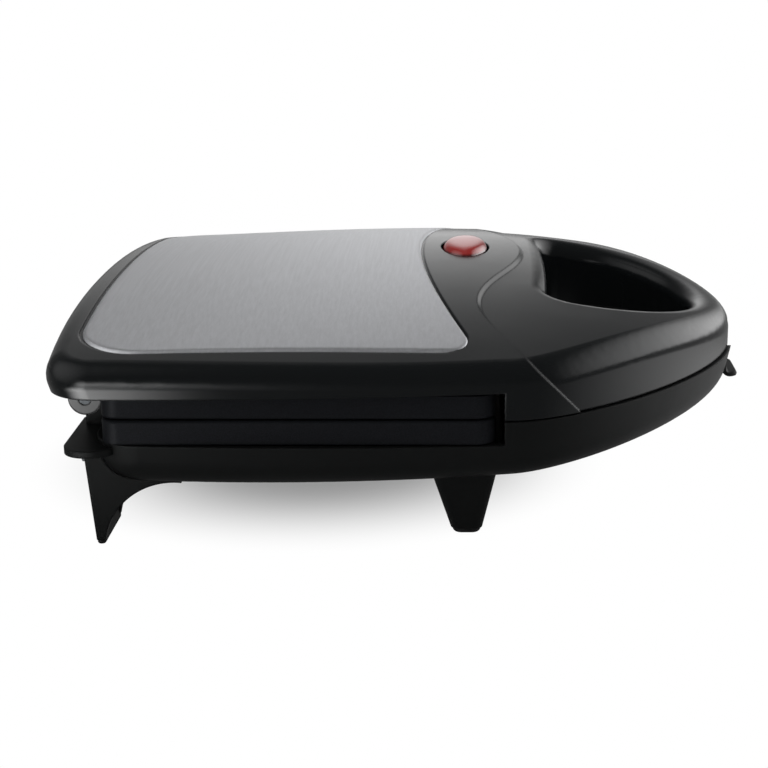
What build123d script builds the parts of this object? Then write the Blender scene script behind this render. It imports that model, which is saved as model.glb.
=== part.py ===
from build123d import *
import os

# Panini press. +X is the front (handle), +Y the left side, +Z up, the floor is z = 0.
# All sizes in millimetres.

# Plan of the mouldings
lid_rear_x = -121.2           # rear of the lid at the height of its rear top edge
lid_rear_lean = 0.31          # how far the lid's rear wall runs forward for each mm down
rear_bow = 2.6                # how far the lid's rear wall bows out at its middle
side_half = 105.5             # half width at the ends of the sides
side_bow = 3.0                # how far the sides bow out at their middle
rear_corner = 17.0            # plan radius of the lid's rear corners
side_front_x = 34.0           # where the sides end and the nose begins
nose_run = 24.0               # how far the nose keeps the side's direction
nose_tip_x = 115.0
nose_tip_half = 48.0          # fullness of the nose at its tip
base_rear_x = -101.0
base_rear_bow = 1.0
base_rear_corner = 17.0

# Heights
belly_z = 22.0                # underside of the base at its lowest line
rim_z = 36.8                  # base rim beside the lower plate
parting_z = 45.1              # where lid and base meet
parting_gap = 0.6
lid_edge_z = 52.2             # lid's lower edge beside the upper plate, at its rear
lid_edge_rise = 1.9           # how much higher that edge ends in front

# Dome of the lid: crest height along its length, and how far the sides sink below it
crest_x = 12.0
crest_z = 79.2
crest_rear_drop = 10.3
crest_tip_drop = 21.0
crest_rear_power = 1.9
crest_tip_power = 1.85
sag_crest = 18.3
sag_rear = 7.2
sag_tip = 5.0
sag_power = 2.2
sag_blend = 1.5
dome_margin = 8.0             # how far the dome surface runs past the plan

# Walls and edges
wall = 2.5
top_wall = 3.5
lid_edge_round = 8.0
handle_round = 9.0            # rounded outer edge of the handle
belly_round = 11.0
belly_tip_inset = 5.0         # how far the belly draws in at the nose
belly_low_x = -60.0           # where the belly is lowest
belly_rise = 8.0              # how much higher the belly ends under the nose
belly_side_inset = 4.0
handle_step = 1.2             # the handle lies this far inside the lid's body
crease_lean = 0.98            # slope of the crease between lid body and handle
crease_side_x = 55.9          # crease on the sides at the parting line
crease_eye_x = 65.5           # where the raised eye round the lamp carries the crease forward
crease_waist_x = 49.5         # between eye and sides the crease falls back
crease_eye_half = 24.0
crease_waist_half = 68.0
cross_wall_x = 30.6           # wall between the cooking bay and the handle

# Finger hole of the handle
hole_rear_x = 47.0
hole_rear_bow = 1.5
hole_half = 47.5
hole_swell = 9.0
hole_front_x = 98.5
hole_side_run = 32.5
hole_front_half = 28.0
hole_corner = 9.0
hole_round = 6.0

# Steel panel
steel_rear_x = -107.8
steel_rear_bow = 2.0
steel_margin = 9.0            # black border beside the panel
steel_rear_corner = 22.0
steel_front_x = 2.3
steel_front_radius = 230.0
steel_front_corner = 8.0
steel_sheet = 0.9
steel_proud = 0.3
steel_gap = 0.6

# Pilot lamp
lamp_x = 17.9
lamp_half_x = 8.6
lamp_half_y = 16.0
lens_height = 2.4             # dome of the lens above the lid's crest
lens_crown = 6.2              # height of the ellipsoid that shapes the dome
lens_swell = 1.21             # ellipsoid's width over the lens's width
lens_wall = 1.5
lens_skirt = 5.0
lens_gap = 0.2
neon_radius = 2.2
neon_length = 14.0
neon_half = 3.0
holder_sheet = 2.0
holder_overhang = 9.0
holder_post_radius = 2.5

# Plates
plate_rear_x = -96.5
plate_front_gap = 2.8         # gap between the plates and the handle's shoulder
plate_inset = 1.0             # plates lie this far inside the ends of the sides
plate_corner = 6.0
plate_recess = 5.0
plate_rim = 3.0
rib_pitch = 10.0
rib_width = 4.0
rib_height = 2.5
rib_end_gap = 6.0

# Heating
element_radius = 3.25
element_half = 55.0
element_rear_x = -80.0
element_front_x = 16.0
element_bend = 40.0
element_pin_radius = 1.5
element_pin = 8.0
shield_sheet = 0.6
shield_half = 68.0
shield_rear_x = -90.0
shield_front_x = 25.0
shield_corner = 8.0
shield_stand = 7.5            # gap between a plate's back and its shield
thermostat_x = -40.0
thermostat_size = (26.0, 18.0, 4.5)
thermostat_cap_radius = 7.0
thermostat_cap = 1.6
fuse_x = -3.0
fuse_radius = 2.0
fuse_length = 14.0
fuse_saddle = (7.0, 9.0, 2.0)
fuse_lead_radius = 0.6
fuse_lead = 8.0

# Screws and bosses
plate_screw_xs = (-60.0, -15.0)
plate_screw_half = 28.0
cover_screw_spots = ((48.0, 76.0), (80.0, 59.0))
boss_radius = 4.5
screw_radius = 1.6
screw_head_radius = 3.0
screw_head = 1.8
screw_bite = 5.0
screw_gap = 0.1
lid_screw_seat = 8.0          # from the shield up to the seat of the lid's plate screws
base_screw_seat = 2.4         # depth of the wells in the belly
cover_sheet = 2.8
cover_gap = 0.3
base_cover_gap = 1.2

# Hinge
hinge_x = -104.0
hinge_z = 47.5
barrel_radius = 5.5
hinge_pin_radius = 2.0
running_gap = 0.05
post_inner = 68.5
post_width = 7.5
post_back = 3.0               # the post's rear face behind the hinge axis
lug_width = 12.0
side_play = 0.4

# Rear stands
ear_rear_x = -109.2
ear_front_x = -92.0
ear_reach = 0.5               # ears stand this far outside the ends of the sides
ear_sheet = 2.2
ear_top_z = 35.2
ear_corner = 8.0
leg_inset = 10.5
leg_sheet = 2.8
leg_top_x = -104.2
leg_foot_x = -101.5
gusset_front_x = -73.0
gusset_bend = (-91.0, 15.3)   # point on the hollow front edge of a gusset
gusset_drop = 0.9             # a gusset's tip lies this far below the belly
stand_screw_z = 29.6
stand_screw_inset = 6.0

# Front feet and pads
foot_x = 18.6
foot_inset = 20.5             # from the ends of the sides to the middle of a foot's top
foot_lean = 5.0               # a foot's sole lies this far inside its top
foot_top_x = 17.4
foot_top = (25.2, 16.0)
foot_base = (10.2, 10.0)
foot_corner = 3.0
foot_rise = 8.0               # how far the foot runs up into the belly's height
pad_height = 1.5
pad_inset = 0.6

# Latch
latch_half = 11.0
latch_gap = 0.5
latch_cheek = 4.0
latch_pin_radius = 1.0
latch_pivot_x = 109.9
latch_pivot_z = 50.6
latch_knuckle = 2.2
latch_strip = 1.9
latch_hook_z = 38.2
latch_hook = 2.0
latch_hook_reach = 2.6
latch_tab_x = 117.2
latch_tab_z = 32.4
latch_tab = 2.0
latch_room = 3.5              # radius of the pocket the clip turns in
keeper_gap = 0.4

# Supply inlet
inlet_z = 30.0
inlet_bore = 3.6
inlet_neck = 5.0
inlet_flange = 6.6
inlet_sheet = 1.6
inlet_depth = 6.0
terminal_x = -65.0
terminal_inset = 26.5
terminal_size = (30.0, 14.0, 8.5)
terminal_screw_radius = 1.8
terminal_screw_pitch = 9.0
terminal_screw_depth = 4.0

fit_gap = 0.3                 # clear gap between pieces that seat on each other
seat_gap = 0.05               # gap between faces that rest on each other
far = 400.0                   # larger than the whole object

# Heights and places that follow from the sizes above
sag_half = side_half + side_bow
steel_half = side_half - steel_margin
plate_half = side_half - plate_inset
plate_front_x = cross_wall_x - plate_front_gap
ear_half = side_half + ear_reach
leg_half = side_half - leg_inset
foot_half = side_half - foot_inset
terminal_y = side_half - terminal_inset
lid_low_z = parting_z + parting_gap / 2
base_high_z = parting_z - parting_gap / 2
dome_top_z = crest_z + dome_margin
lid_rear_z = crest_z - crest_rear_drop
upper_back_z = lid_edge_z - fit_gap
lower_back_z = rim_z + fit_gap
upper_shield_z = upper_back_z + shield_stand
lower_shield_z = lower_back_z - shield_stand
lid_seat_z = upper_shield_z + lid_screw_seat
base_seat_z = belly_z + base_screw_seat
lens_low_z = crest_z - top_wall - lens_skirt
holder_z = lens_low_z - neon_radius - seat_gap
latch_back_x = latch_pivot_x + latch_knuckle - 0.5 * latch_strip
sides = (1, -1)
plate_screw_places = [(x, s * plate_screw_half) for x in plate_screw_xs for s in sides]
cover_screw_places = [(x, s * y) for x, y in cover_screw_spots for s in sides]


# Shared shapes

def block(low, high):
    size = [b - a for a, b in zip(low, high)]
    return Pos(*low) * Box(*size, align=(Align.MIN, Align.MIN, Align.MIN))


def ahead_of(x):
    return block((x, -far, -far), (far, far, far))


def rod(x, y, z_low, z_high, radius):
    upright = (Align.CENTER, Align.CENTER, Align.MIN)
    return Pos(x, y, z_low) * Cylinder(radius, z_high - z_low, align=upright)


def cross_rod(x, z, y_low, y_high, radius):
    """Round bar along Y."""
    return Pos(x, (y_low + y_high) / 2, z) * Rot(90, 0, 0) * Cylinder(radius, y_high - y_low)


def long_rod(x_low, x_high, y, z, radius):
    """Round bar along X."""
    return Pos((x_low + x_high) / 2, y, z) * Rot(0, 90, 0) * Cylinder(radius, x_high - x_low)


def side_slab(outline, y_low, y_high):
    """Flat outline in X and Z, given thickness along Y."""
    return Pos(0, y_high, 0) * extrude(Plane.XZ * outline, y_high - y_low)


def spread(low, high, side):
    """Limits along Y of a piece that lies between two distances from the middle."""
    return sorted((side * low, side * high))


def rounded_slab(x_low, x_high, half, corner, z_low, z_high):
    face = RectangleRounded(x_high - x_low, 2 * half, corner)
    return Pos((x_low + x_high) / 2, 0, z_low) * extrude(face, z_high - z_low)


def screw(x, y, seat_z, tip_z):
    """Upright screw whose flat round head bears on seat_z."""
    up = 1 if seat_z > tip_z else -1
    shank = rod(x, y, min(seat_z, tip_z), max(seat_z, tip_z), screw_radius)
    head_z = seat_z + up * screw_head
    return shank + rod(x, y, min(seat_z, head_z), max(seat_z, head_z), screw_head_radius)


# Plans and forms of the mouldings

def crest(x):
    """Height of the dome along its middle line."""
    if x < crest_x:
        return crest_z - crest_rear_drop * ((crest_x - x) / (crest_x - lid_rear_x)) ** crest_rear_power
    return crest_z - crest_tip_drop * ((x - crest_x) / (nose_tip_x - crest_x)) ** crest_tip_power


def sag(x):
    """How far the dome sinks towards its sides."""
    if x < crest_x:
        return sag_crest - (sag_crest - sag_rear) * ((crest_x - x) / (crest_x - lid_rear_x)) ** sag_blend
    return sag_crest - (sag_crest - sag_tip) * ((x - crest_x) / (nose_tip_x - crest_x)) ** sag_blend


def under_dome(drop):
    """Everything below the dome surface lowered by drop."""
    columns, ranks = 24, 8
    x_low = lid_rear_x - dome_margin
    x_step = (nose_tip_x - lid_rear_x + 2 * dome_margin) / columns
    y_step = (side_half + side_bow + dome_margin) / ranks
    grid = []
    for i in range(columns + 1):
        x = x_low + x_step * i
        ys = [y_step * j for j in range(-ranks, ranks + 1)]
        grid.append([Vector(x, y, crest(x) - sag(x) * (abs(y) / sag_half) ** sag_power - drop) for y in ys])
    surface = Face.make_surface_from_array_of_points(grid, tol=0.05, min_deg=3, max_deg=6)
    return Solid.extrude(surface, Vector(0, 0, -crest_z))


def plan(inset, rear_x, bow, corner, tip_inset=0.0):
    """Plan of lid and base: bowed rear and sides and a round nose."""
    half = side_half - inset
    tip_x = nose_tip_x - inset - tip_inset
    rear = rear_x + inset
    corner_x = rear + bow
    middle_x = (corner_x + side_front_x) / 2
    lean = 4 * side_bow / (side_front_x - corner_x)
    edges = [ThreePointArc((corner_x, half), (rear, 0), (corner_x, -half))]
    for s in sides:
        front = (side_front_x, s * half)
        swing = (side_front_x + nose_run, s * (half - lean * nose_run))
        edges.append(ThreePointArc((corner_x, s * half), (middle_x, s * (half + side_bow)), front))
        edges.append(Bezier(front, swing, (tip_x, s * (nose_tip_half - inset)), (tip_x, 0)))
    face = make_face(edges)
    return fillet(face.vertices().sort_by(Axis.X)[:2], corner - inset)


def hole_plan(outset=0.0):
    """Plan of the handle's finger hole."""
    rear = hole_rear_x - outset
    half = hole_half + outset
    front = hole_front_x + outset
    side_x = rear - hole_rear_bow
    edges = [ThreePointArc((side_x, half), (rear, 0), (side_x, -half))]
    for s in sides:
        swing = (side_x + hole_side_run, s * (half + hole_swell))
        edges.append(Bezier((side_x, s * half), swing, (front, s * (hole_front_half + outset)), (front, 0)))
    face = make_face(edges)
    return fillet(face.vertices().sort_by(Axis.X)[:2], hole_corner + outset)


def hole(outset=0.0):
    return extrude(hole_plan(outset), dome_top_z)


def steel_plan(outset=0.0):
    """Plan of the steel panel: bowed rear, straight sides, hollow front."""
    rear = steel_rear_x - outset
    half = steel_half + outset
    rear_side_x = rear + steel_rear_bow
    front = steel_front_x + outset
    front_side_x = front + half ** 2 / (2 * steel_front_radius)
    face = make_face([
        ThreePointArc((rear_side_x, half), (rear, 0), (rear_side_x, -half)),
        Line((rear_side_x, half), (front_side_x, half)),
        ThreePointArc((front_side_x, half), (front, 0), (front_side_x, -half)),
        Line((front_side_x, -half), (rear_side_x, -half)),
    ])
    face = fillet(face.vertices().sort_by(Axis.X)[:2], steel_rear_corner + outset)
    return fillet(face.vertices().sort_by(Axis.X)[-2:], steel_front_corner + outset)


def lid_block(inset, drop):
    """Lid plan carried up to the dome, its rear wall leaning back as it rises."""
    low_x = lid_rear_x + lid_rear_lean * (lid_rear_z - lid_low_z)
    high_x = lid_rear_x - lid_rear_lean * (dome_top_z - lid_rear_z)
    low = Pos(0, 0, lid_low_z) * plan(inset, low_x, rear_bow, rear_corner)
    high = Pos(0, 0, dome_top_z) * plan(inset, high_x, rear_bow, rear_corner)
    return loft([low, high], ruled=True) & under_dome(drop)


def lid_body_form():
    """Rounded lid behind the crease, with the raised eye round the lamp."""
    form = lid_block(0, 0)
    form = fillet(form.faces().sort_by(Axis.Z)[-1].edges(), lid_edge_round)
    left = [(crease_side_x, side_half + dome_margin), (crease_side_x, side_half - side_bow),
            (crease_waist_x, crease_waist_half), (crease_eye_x, crease_eye_half)]
    right = [(x, -y) for x, y in reversed(left)]
    rear = [right[-1], (-far, right[-1][1]), (-far, left[0][1]), left[0]]
    behind = make_face([Spline(*left, *right), Polyline(*rear)])
    slope = (1 + crease_lean ** 2) ** 0.5
    return form & Pos(0, 0, parting_z) * extrude(behind, crest_z * slope, dir=(-crease_lean, 0, 1))


def lid_handle_form():
    """Handle and front of the lid, a step inside the body, with the rounded finger hole."""
    form = lid_block(handle_step, handle_step) - hole()
    top = form.faces().sort_by(Axis.Z)[-1]
    form = fillet(top.outer_wire().edges(), handle_round)
    top = form.faces().sort_by(Axis.Z)[-1]
    return fillet(top.inner_wires()[0].edges(), hole_round)


def belly_height(x):
    """Height of the belly, a long arc that rises towards the nose."""
    reach = nose_tip_x - belly_low_x
    radius = (reach ** 2 + belly_rise ** 2) / (2 * belly_rise)
    return belly_z + radius - (radius ** 2 - (x - belly_low_x) ** 2) ** 0.5


def above_belly(inset):
    """Everything above the belly's arc raised by inset."""
    xs = (2 * belly_low_x - nose_tip_x, belly_low_x, nose_tip_x)
    rear, low, front = [(x, belly_height(x) + inset) for x in xs]
    outline = make_face([
        ThreePointArc(rear, low, front),
        Line(front, (nose_tip_x, dome_top_z)),
        Line((nose_tip_x, dome_top_z), (rear[0], dome_top_z)),
        Line((rear[0], dome_top_z), rear),
    ])
    return side_slab(outline, -far, far)


def base_form(inset=0.0):
    """Base from belly to parting line, drawn in towards a rounded belly."""
    rear = base_rear_x - belly_side_inset
    low = plan(inset + belly_side_inset, rear, base_rear_bow, base_rear_corner + belly_side_inset,
               belly_tip_inset - belly_side_inset)
    high = plan(inset, base_rear_x, base_rear_bow, base_rear_corner)
    form = loft([Pos(0, 0, belly_z + inset) * low, Pos(0, 0, base_high_z) * high], ruled=True)
    form = form & above_belly(inset)
    return fillet(form.faces().sort_by(Axis.Z)[0].edges(), belly_round - inset)


# Lid pieces

def lid_lugs():
    """Hinge lugs that hang from the lid's rear corners."""
    inner = post_inner + post_width + side_play
    lugs = []
    for s in sides:
        y_low, y_high = spread(inner, inner + lug_width, s)
        web = block((hinge_x - barrel_radius, y_low, hinge_z), (hinge_x + barrel_radius, y_high, lid_edge_z))
        lugs.append(web + cross_rod(hinge_x, hinge_z, y_low, y_high, barrel_radius))
    return lugs


def lug_roots():
    """Solid roots of the lugs inside the lid."""
    inner = post_inner + post_width + side_play
    roots = []
    for s in sides:
        y_low, y_high = spread(inner, inner + lug_width, s)
        roots.append(block((-far, y_low, lid_edge_z), (hinge_x + barrel_radius, y_high, far)))
    return roots


def lid_hollow():
    """Cooking bay and handle channel inside the lid."""
    bay = lid_block(wall, top_wall) - ahead_of(cross_wall_x)
    channel = lid_block(wall + handle_step, top_wall + handle_step) & ahead_of(cross_wall_x + wall)
    nose = latch_half + latch_gap + latch_cheek
    kept = lug_roots() + [hole(wall), block((hole_front_x, -nose, 0), (far, nose, far))]
    shield_top_z = upper_shield_z + shield_sheet + seat_gap
    kept += [rod(x, y, shield_top_z, far, boss_radius) for x, y in plate_screw_places]
    kept += [rod(x, y, lid_low_z + cover_sheet + seat_gap, far, boss_radius) for x, y in cover_screw_places]
    post_y = lamp_half_y + lens_gap + 2 * holder_post_radius
    kept += [rod(lamp_x, s * post_y, holder_z + seat_gap, far, holder_post_radius) for s in sides]
    hollow = bay + channel
    for piece in kept:
        hollow = hollow - piece
    return hollow


def lid_shell():
    shell = lid_body_form() - hole() + lid_handle_form()
    under_edge = make_face(Polyline((-far, 0), (cross_wall_x, 0), (cross_wall_x, lid_edge_z + lid_edge_rise),
                                    (plate_rear_x, lid_edge_z), (-far, lid_edge_z), close=True))
    shell = shell - side_slab(under_edge, -far, far) - lid_hollow()
    recess = extrude(steel_plan(steel_gap), dome_top_z) - under_dome(steel_sheet - steel_proud + seat_gap)
    lens_seat = Pos(lamp_x, 0) * Ellipse(lamp_half_x + lens_gap, lamp_half_y + lens_gap)
    shell = shell - recess - extrude(lens_seat, far)
    for x, y in plate_screw_places:
        shell = shell - rod(x, y, 0, far, screw_radius + screw_gap)
        shell = shell - rod(x, y, lid_seat_z, far, screw_head_radius + screw_gap)
    for x, y in cover_screw_places:
        shell = shell - rod(x, y, 0, lid_low_z + cover_sheet + screw_bite, screw_radius + screw_gap)
    half = latch_half + latch_gap
    shell = shell - block((latch_pivot_x - latch_room, -half, 0), (far, half, latch_pivot_z + latch_room))
    shell = shell - cross_rod(latch_pivot_x, latch_pivot_z, -half - latch_cheek, half + latch_cheek,
                              latch_pin_radius + running_gap)
    for lug in lid_lugs():
        shell = shell + lug
    return shell - cross_rod(hinge_x, hinge_z, -far, far, hinge_pin_radius + running_gap)


def steel_trim():
    sheet = extrude(steel_plan(), dome_top_z) & under_dome(-steel_proud)
    return sheet - under_dome(steel_sheet - steel_proud)


def lens_form(inset, z_low):
    """Oval prism with a domed top."""
    oval = Ellipse(lamp_half_x - inset, lamp_half_y - inset)
    prism = Pos(lamp_x, 0, z_low) * extrude(oval, dome_top_z - z_low)
    centre_z = crest_z + lens_height - lens_crown
    spans = (lens_swell * lamp_half_x, lens_swell * lamp_half_y, lens_crown)
    cap = Pos(lamp_x, 0, centre_z) * scale(Sphere(1), by=tuple(span - inset for span in spans))
    return prism & (cap + block((-far, -far, z_low), (far, far, centre_z)))


def lamp_lens():
    return lens_form(0, lens_low_z) - lens_form(lens_wall, 0)


def pilot_lamps():
    z = lens_low_z + seat_gap
    half = neon_length / 2
    return [cross_rod(lamp_x + s * neon_half, z, -half, half, neon_radius) for s in sides]


def lamp_holder():
    half = lamp_half_y + holder_overhang
    low = (lamp_x - lamp_half_x, -half, holder_z - holder_sheet)
    return block(low, (lamp_x + lamp_half_x, half, holder_z))


def plate(face_z, back_z, shield_z):
    """Ribbed cooking plate with a rim round its face and bosses on its back."""
    up = 1 if back_z > face_z else -1
    floor_z = face_z + up * plate_recess
    body = rounded_slab(plate_rear_x, plate_front_x, plate_half, plate_corner, *sorted((face_z, back_z)))
    body = body - rounded_slab(plate_rear_x + plate_rim, plate_front_x - plate_rim, plate_half - plate_rim,
                               plate_corner - plate_rim / 2, *sorted((face_z, floor_z)))
    rib_low_x = plate_rear_x + plate_rim + rib_end_gap
    rib_high_x = plate_front_x - plate_rim - rib_end_gap
    count = int((plate_half - plate_rim - rib_end_gap) / rib_pitch)
    for i in range(-count, count + 1):
        z_low, z_high = sorted((floor_z, floor_z - up * rib_height))
        y = i * rib_pitch
        body = body + block((rib_low_x, y - rib_width / 2, z_low), (rib_high_x, y + rib_width / 2, z_high))
    for x, y in plate_screw_places:
        end_z = shield_z - up * seat_gap
        body = body + rod(x, y, *sorted((back_z, end_z)), boss_radius)
        body = body - rod(x, y, *sorted((end_z, end_z - up * screw_bite)), screw_radius + screw_gap)
    return body


def heating_element(z):
    """Tube bent to a U, with a thin pin at each end."""
    corners = [(element_front_x, -element_half, z), (element_rear_x, -element_half, z),
               (element_rear_x, element_half, z), (element_front_x, element_half, z)]
    path = FilletPolyline(*corners, radius=element_bend)
    tube = sweep(Plane(path @ 0, z_dir=path % 0) * Circle(element_radius), path)
    for s in sides:
        pin_end_x = element_front_x + element_pin
        tube = tube + long_rod(element_front_x, pin_end_x, s * element_half, z, element_pin_radius)
    return tube


def heat_shield(z_low):
    z_high = z_low + shield_sheet
    sheet = rounded_slab(shield_rear_x, shield_front_x, shield_half, shield_corner, z_low, z_high)
    for x, y in plate_screw_places:
        sheet = sheet - rod(x, y, 0, far, screw_radius + fit_gap)
    return sheet


def thermostat():
    long, wide, high = thermostat_size
    z = upper_back_z + seat_gap
    case = block((thermostat_x - long / 2, -wide / 2, z), (thermostat_x + long / 2, wide / 2, z + high))
    return case + rod(thermostat_x, 0, z + high, z + high + thermostat_cap, thermostat_cap_radius)


def thermal_fuse():
    long, wide, high = fuse_saddle
    z = upper_back_z + seat_gap
    saddle = block((fuse_x - long / 2, -wide / 2, z), (fuse_x + long / 2, wide / 2, z + high))
    body = cross_rod(fuse_x, z + high, -fuse_length / 2, fuse_length / 2, fuse_radius)
    reach = fuse_length / 2 + fuse_lead
    return saddle + body + cross_rod(fuse_x, z + high, -reach, reach, fuse_lead_radius)


def handle_cover(inset, wall_gap, z_low, z_high):
    """Flat ring that closes a half of the hollow handle, open at the latch."""
    face = plan(inset, base_rear_x, base_rear_bow, base_rear_corner)
    ring = Pos(0, 0, z_low) * extrude(face, z_high - z_low)
    nose = latch_half + latch_gap + latch_cheek + cover_gap
    ring = ring & ahead_of(cross_wall_x + wall + cover_gap)
    return ring - hole(wall + wall_gap) - block((hole_front_x - wall, -nose, 0), (far, nose, far))


def cover_holes(cover, seat_z, face_z):
    for x, y in cover_screw_places:
        cover = cover - rod(x, y, 0, far, screw_radius + screw_gap)
        cover = cover - rod(x, y, *sorted((seat_z, face_z)), screw_head_radius + screw_gap)
    return cover


def lid_handle_cover():
    cover = handle_cover(wall + handle_step + cover_gap, cover_gap, lid_low_z, lid_low_z + cover_sheet)
    return cover_holes(cover, lid_low_z + screw_head + seat_gap, 0)


def latch_pin():
    half = latch_half + latch_gap + latch_cheek - seat_gap
    return cross_rod(latch_pivot_x, latch_pivot_z, -half, half, latch_pin_radius)


# Latch

def latch_clip():
    front_x = latch_back_x + latch_strip
    strip = block((latch_back_x, -latch_half, latch_tab_z), (front_x, latch_half, latch_pivot_z))
    hook = block((latch_back_x - latch_hook_reach, -latch_half, latch_hook_z),
                 (latch_back_x, latch_half, latch_hook_z + latch_hook))
    tab_top_z = latch_tab_z + latch_tab
    tab = block((latch_back_x, -latch_half, latch_tab_z), (latch_tab_x, latch_half, tab_top_z))
    knuckle = cross_rod(latch_pivot_x, latch_pivot_z, -latch_half, latch_half, latch_knuckle)
    clip = strip + hook + tab + knuckle
    return clip - cross_rod(latch_pivot_x, latch_pivot_z, -far, far, latch_pin_radius + running_gap)


# Base pieces

def base_hollow():
    """Cooking bay and handle channel inside the base."""
    nose = latch_half + latch_gap + latch_cheek
    kept = [
        hole(wall),
        block((hole_front_x, -nose, 0), (far, nose, far)),
        block((cross_wall_x, -far, 0), (cross_wall_x + wall, far, far)),
    ]
    shield_low_z = lower_shield_z - shield_sheet - seat_gap
    kept += [rod(x, y, 0, shield_low_z, boss_radius) for x, y in plate_screw_places]
    kept += [rod(x, y, 0, base_high_z - cover_sheet - seat_gap, boss_radius) for x, y in cover_screw_places]
    inside = base_form(wall)
    for piece in kept:
        inside = inside - piece
    return inside


def base_shell():
    shell = base_form() - hole() - base_hollow()
    shell = shell - block((-far, -far, rim_z), (cross_wall_x, far, far))
    for x, y in plate_screw_places:
        shell = shell - rod(x, y, 0, base_seat_z, screw_head_radius + screw_gap)
        shell = shell - rod(x, y, 0, far, screw_radius + screw_gap)
    for x, y in cover_screw_places:
        top_z = base_high_z - cover_sheet
        shell = shell - rod(x, y, top_z - screw_bite, far, screw_radius + screw_gap)
    half = latch_half + latch_gap
    face_x = latch_back_x - fit_gap
    hook_x = latch_back_x - latch_hook_reach - keeper_gap
    shell = shell - block((face_x, -half, 0), (far, half, far))
    shell = shell - block((hook_x, -half, 0), (far, half, latch_hook_z + latch_hook + keeper_gap))
    rear_x = base_rear_x - wall
    shell = shell - long_rod(rear_x, base_rear_x + inlet_depth, 0, inlet_z, inlet_neck + screw_gap)
    for y in stand_screw_ys():
        shell = shell - long_rod(rear_x, base_rear_x + 2 * wall, y, stand_screw_z, screw_radius + screw_gap)
    return shell


def stand_screw_ys():
    near = post_inner + stand_screw_inset
    return [s * y for s in sides for y in (near, leg_half - stand_screw_inset)]


def rear_stand(side):
    """Ear, leg with two gussets, and hinge post of one rear corner."""
    corner = Pos((ear_rear_x + ear_front_x) / 2, side * ear_half / 2)
    ear_face = corner * RectangleRounded(ear_front_x - ear_rear_x, ear_half, ear_corner)
    y_low, y_high = spread(post_inner, far, side)
    top_z = ear_top_z - ear_sheet
    ear = Pos(0, 0, top_z) * extrude(ear_face, ear_sheet) & block((-far, y_low, 0), (far, y_high, far))
    head = (leg_top_x, top_z)
    heel = (leg_foot_x, pad_height)
    toe = (leg_foot_x + leg_sheet, pad_height)
    leg_face = make_face(Polyline(head, heel, toe, (leg_top_x + leg_sheet, top_z), close=True))
    stand = ear + side_slab(leg_face, *spread(post_inner, leg_half, side))
    tip = (gusset_front_x, belly_z - gusset_drop)
    shoulder = (gusset_front_x, top_z)
    gusset_face = make_face([ThreePointArc(toe, gusset_bend, tip), Polyline(tip, shoulder, head, heel, toe)])
    for y in (post_inner, leg_half - leg_sheet):
        stand = stand + side_slab(gusset_face, *spread(y, y + leg_sheet, side))
    post_low, post_high = spread(post_inner, post_inner + post_width, side)
    post_front_x = hinge_x + barrel_radius
    stand = stand + block((hinge_x - post_back, post_low, top_z), (post_front_x, post_high, hinge_z))
    stand = stand + cross_rod(hinge_x, hinge_z, post_low, post_high, barrel_radius)
    stand = stand - base_form() - cross_rod(hinge_x, hinge_z, -far, far, hinge_pin_radius + running_gap)
    for y in stand_screw_ys():
        stand = stand - long_rod(-far, base_rear_x + wall, y, stand_screw_z, screw_radius + screw_gap)
    return stand


def stand_screws():
    seat_x = leg_top_x - seat_gap
    pieces = []
    for y in stand_screw_ys():
        head = long_rod(seat_x - screw_head, seat_x, y, stand_screw_z, screw_head_radius)
        shank = long_rod(seat_x, base_rear_x + wall, y, stand_screw_z, screw_radius)
        pieces.append(head + shank)
    return pieces


def hinge_pin(side):
    inner = post_inner + seat_gap
    outer = post_inner + post_width + side_play + lug_width - seat_gap
    return cross_rod(hinge_x, hinge_z, *spread(inner, outer, side), hinge_pin_radius)


def front_foot(side):
    low = Pos(foot_x, side * (foot_half - foot_lean), pad_height) * RectangleRounded(*foot_base, foot_corner)
    high = Pos(foot_top_x, side * foot_half, belly_z + foot_rise) * RectangleRounded(*foot_top, foot_corner)
    return loft([low, high], ruled=True) - base_form()


def foot_pads():
    pads = []
    for s in sides:
        spans = [span - 2 * pad_inset for span in foot_base]
        front = RectangleRounded(*spans, foot_corner - pad_inset)
        pads.append(Pos(foot_x, s * (foot_half - foot_lean), 0) * extrude(front, pad_height - seat_gap))
        y_low, y_high = spread(post_inner, leg_half, s)
        pads.append(block((leg_foot_x, y_low, 0), (leg_foot_x + leg_sheet, y_high, pad_height - seat_gap)))
    return pads


def base_handle_cover():
    cover = handle_cover(wall + base_cover_gap, base_cover_gap, base_high_z - cover_sheet, base_high_z)
    return cover_holes(cover, base_high_z - screw_head - seat_gap, far)


def cord_inlet_bush():
    rear = base_rear_x - inlet_sheet - seat_gap
    flange = long_rod(rear, base_rear_x + inlet_depth, 0, inlet_z, inlet_flange) - base_form()
    neck = long_rod(rear, base_rear_x + inlet_depth, 0, inlet_z, inlet_neck)
    return flange + neck - long_rod(-far, far, 0, inlet_z, inlet_bore)


def terminal_block():
    long, wide, high = terminal_size
    z = belly_height(terminal_x - long / 2) + wall + seat_gap
    low = (terminal_x - long / 2, terminal_y - wide / 2, z)
    case = block(low, (low[0] + long, low[1] + wide, z + high))
    for i in (-1, 0, 1):
        x = terminal_x + i * terminal_screw_pitch
        case = case - rod(x, terminal_y, z + high - terminal_screw_depth, far, terminal_screw_radius)
    return case


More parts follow.
